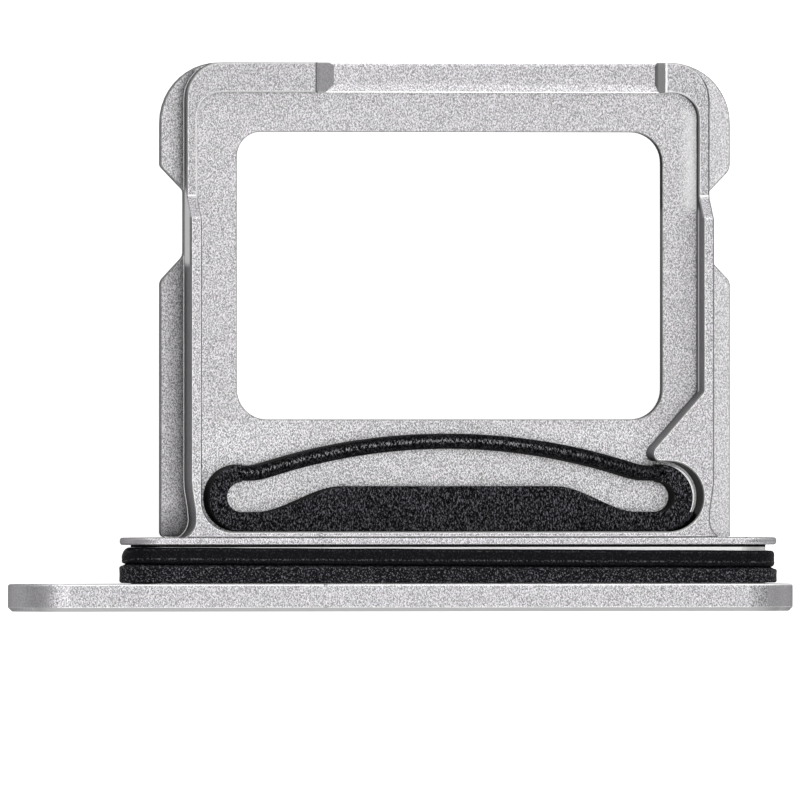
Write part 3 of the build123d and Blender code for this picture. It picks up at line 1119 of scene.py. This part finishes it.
def leaf_solid():
    """The leaf: an upright strip with a rounded top and a painted sheen along its crown."""
    half = LEAF_THICK / 2
    foot = FLOOR_TOP + LEAF_LIFT
    shoulder = []
    for k in range(LEAF_ROUND_STEPS + 1):
        turn = math.pi / 2 * k / LEAF_ROUND_STEPS
        across = half - LEAF_ROUND * (1 - math.cos(turn))
        shoulder.append((across, SPRING_TOP - LEAF_ROUND * (1 - math.sin(turn))))
    section = [(-half, foot), (half, foot)] + shoulder
    section += [(LEAF_FLAT, SPRING_TOP), (0.0, SPRING_TOP), (-LEAF_FLAT, SPRING_TOP)]
    section += [(-across, height) for across, height in reversed(shoulder)]
    bm = bmesh.new()
    line = leaf_line()
    rings = []
    for k, (x, y) in enumerate(line):
        before, after = line[max(k - 1, 0)], line[min(k + 1, len(line) - 1)]
        along = Vector((after[0] - before[0], after[1] - before[1])).normalized()
        rings.append(
            [
                bm.verts.new((x - along.y * across, y + along.x * across, height))
                for across, height in section
            ]
        )
    join_rings(bm, rings)
    bm.faces.new(list(reversed(rings[0])))
    bm.faces.new(rings[-1])
    # The painted sheen comes in patches, wanders a little across the crown and fades towards the
    # right
    fade_from, fade_to = LEAF_SHEEN_FADES
    painted_sheen = []
    for k in range(len(line)):
        fade = min(max((k / len(line) - fade_from) / (fade_to - fade_from), 0.0), 1.0)
        patch = LEAF_SHEEN + LEAF_SHEEN_SWING * noise.noise(Vector((k * LEAF_SHEEN_PACE, 0.0, 0.0)))
        patch *= 1.0 - LEAF_SHEEN_LOST * fade
        swing = noise.noise(Vector((k * LEAF_LINE_PACE, LEAF_LINE_ROW, 0.0)))
        middle = LEAF_LINE + LEAF_LINE_SWING * swing
        for across, height in section:
            off = (across - middle) / LEAF_CROWN
            crown_sheen = max(0.0, 1.0 - off * off) if height > SPRING_TOP - LEAF_ROUND else 0.0
            painted_sheen.append(crown_sheen * patch)
    return bm, painted_sheen, [LEAF_SKIN] * len(painted_sheen)


def fused(first, second):
    """The first mesh with the second fused onto it, as one closed skin."""
    objects = []
    for bm in (first, second):
        bmesh.ops.recalc_face_normals(bm, faces=bm.faces)
        mesh = bpy.data.meshes.new("part")
        bm.to_mesh(mesh)
        bm.free()
        objects.append(add_object("part", mesh))
    fuse = objects[0].modifiers.new("fuse", "BOOLEAN")
    fuse.operation = "UNION"
    fuse.solver = "EXACT"
    fuse.object = objects[1]
    shown = objects[0].evaluated_get(bpy.context.evaluated_depsgraph_get())
    result = bmesh.new()
    result.from_mesh(shown.to_mesh())
    shown.to_mesh_clear()
    for piece in objects:
        mesh = piece.data
        bpy.data.objects.remove(piece)
        bpy.data.meshes.remove(mesh)
    return result


def card_spring_base():
    """Base with its hump, the two curls and the foot in the right corner of the bay."""
    body = rounded_prism(
        spring_outline(), FLOOR_TOP, SPRING_TOP, SPRING_ROUND, BASE_ROUND_STEPS
    )
    foot_centre = (POCKET_RIGHT - BAY_CORNER, POCKET_REAR + BAY_CORNER)
    foot_radius = BAY_CORNER - SPRING_GAP
    start_x = CURL_RIGHT + FOOT_START
    top_y = BASE_REAR + FOOT_RISE
    low = -math.acos((start_x - foot_centre[0]) / foot_radius)
    high = -math.asin((foot_centre[1] - top_y) / foot_radius)
    outline = arc(foot_centre, foot_radius, low, high, FOOT_STEPS) + [(start_x, top_y)]
    foot_top = FLOOR_TOP + FOOT_HEIGHT
    foot = rounded_prism(outline, FLOOR_TOP + LEAF_LIFT, foot_top, FOOT_ROUND, FOOT_ROUND_STEPS)
    bm = fused(body, foot)
    # Painted light: the points on the foot's top get stronger specks
    skin = [
        FOOT_TOP_LIGHT if abs(point.co.z - foot_top) < FOOT_TOP_REACH else 1.0 for point in bm.verts
    ]
    return finish_mesh(
        "card_spring_base", bm, elastomer, "card_spring", skin=skin
    )


def card_spring_leaf():
    """The bowed leaf with the painted sheen on its crown."""
    bm, painted_sheen, skin = leaf_solid()
    return finish_mesh(
        "card_spring_leaf", bm, elastomer, "card_spring", painted_sheen, skin
    )


def gasket_section():
    """The gasket's section: each point's Y, distance out from the neck's core, painted sheen and
    specks.
    """
    points = [(GASKET_START, GASKET_INNER, 0.0, 1.0)]
    for start, width, wall, before, after, first_sheen, last_sheen, skin in GASKET_RIBS:
        end = start + width
        low = wall - RIB_SHOULDER
        if len(points) > 1:
            points.append((start - VALLEY_BEFORE, VALLEY_WALL, 0.0, skin))
        for k in range(RIB_STEPS + 1):
            turn = math.pi / 2 * k / RIB_STEPS
            y = start + before * (1 - math.cos(turn))
            sheen = first_sheen if k == RIB_STEPS else 0.0
            points.append((y, low + RIB_SHOULDER * math.sin(turn), sheen, skin))
        crown = (start + before, end - after)
        points.append((crown[0] + CROWN_LINE, wall - RIB_DISH / 2, 0.0, skin))
        points.append(((crown[0] + crown[1]) / 2, wall - RIB_DISH, 0.0, skin))
        points.append((crown[1] - CROWN_LINE, wall - RIB_DISH / 2, 0.0, skin))
        for k in range(RIB_STEPS + 1):
            turn = math.pi / 2 * k / RIB_STEPS
            y = end - after * (1 - math.sin(turn))
            sheen = last_sheen if k == 0 else 0.0
            points.append((y, low + RIB_SHOULDER * math.cos(turn), sheen, skin))
    points.append((end, GASKET_INNER, 0.0, 1.0))
    return points


def end_drop(x, wall, radius):
    """How far a rib's corner of this radius is rounded off at this place along the neck."""
    inward = CORE_HALF_RUN + CORE_RADIUS + wall - abs(x)
    if inward >= radius:
        return 0.0
    return radius - math.sqrt(radius**2 - (radius - max(inward, 0.0)) ** 2)


def gasket_ring():
    """The gasket: its section carried once round the neck, a little askew and wavy."""
    section = gasket_section()
    pace = Vector(GASKET_WANDER_PACE)
    stations = []
    for side in (1, -1):
        for k in range(NECK_STEPS):
            x = -side * CORE_HALF_RUN + side * 2 * CORE_HALF_RUN * k / NECK_STEPS
            stations.append(((x, side * CORE_RADIUS), (0.0, float(side))))
        for k in range(NECK_END_STEPS):
            turn = math.pi * k / NECK_END_STEPS
            out = (side * math.sin(turn), side * math.cos(turn))
            centre = side * CORE_HALF_RUN
            stations.append(((centre + CORE_RADIUS * out[0], CORE_RADIUS * out[1]), out))
    bm = bmesh.new()
    rings = []
    sheen = []
    skins = []
    for (x, z), out in stations:
        lean = -GASKET_SKEW * x / (CORE_HALF_RUN + CORE_RADIUS)
        ring = []
        for y, wall, painted_sheen, skin in section:
            share = min(max((y - GASKET_START) / GASKET_SKEW_REACH, 0.0), 1.0)
            wander = GASKET_WANDER * noise.noise(Vector((x, y, z)) * pace) * share
            reach = wall + (0.0 if wall <= GASKET_INNER else wander)
            place = x + out[0] * wall
            if y > UPPER_END_FROM:
                radius = LEFT_END_ROUND if place < 0.0 else RIGHT_END_ROUND
                drop = end_drop(place, UPPER_END_WALL, radius)
                y -= (y - UPPER_END_FROM) * drop / UPPER_END_WIDTH
            elif wall > GASKET_INNER:
                drop = end_drop(place, LOWER_END_WALL, LOWER_END_ROUND)
                y -= 2.0 * (y - LOWER_END_MIDDLE) * drop / LOWER_END_WIDTH
            ring.append(
                bm.verts.new(
                    (NECK_SHIFT + x + out[0] * reach, y + lean * share + wander, z + out[1] * reach)
                )
            )
            sheen.append(painted_sheen)
            skins.append(skin)
        rings.append(ring)
    join_rings(bm, rings + rings[:1])
    return finish_mesh("gasket_ring", bm, rubber, "seal_gasket", sheen, skins)


# The scene

bpy.context.scene.view_settings.view_transform = "Standard"
make_camera()
make_floor()
make_room()
make_light()
make_lamp()

fine_grain = fine_grain_group()
edge_nearness = edge_nearness_group()
crease_shade = crease_shade_group()
metal = blasted_metal()
elastomer = moulded_black(
    "black_elastomer",
    roughness=0.45,
    specular=0.015,
    cells=31000.0,
    stretch=0.5,
    darkest=0.0008,
    lightest=0.17,
    power=3.6,
    line=0.55,
    shaded_walls=0.9,
)
rubber = moulded_black(
    "black_rubber",
    roughness=0.5,
    specular=0.08,
    cells=25000.0,
    stretch=0.9,
    darkest=0.0045,
    lightest=0.24,
    power=6.5,
    line=0.16,
    shaded_walls=0.0,
)

dress("tray_body", metal)
dress("card_spring", elastomer)
dress("seal_gasket", rubber)
card_spring_base()
card_spring_leaf()
gasket_ring()
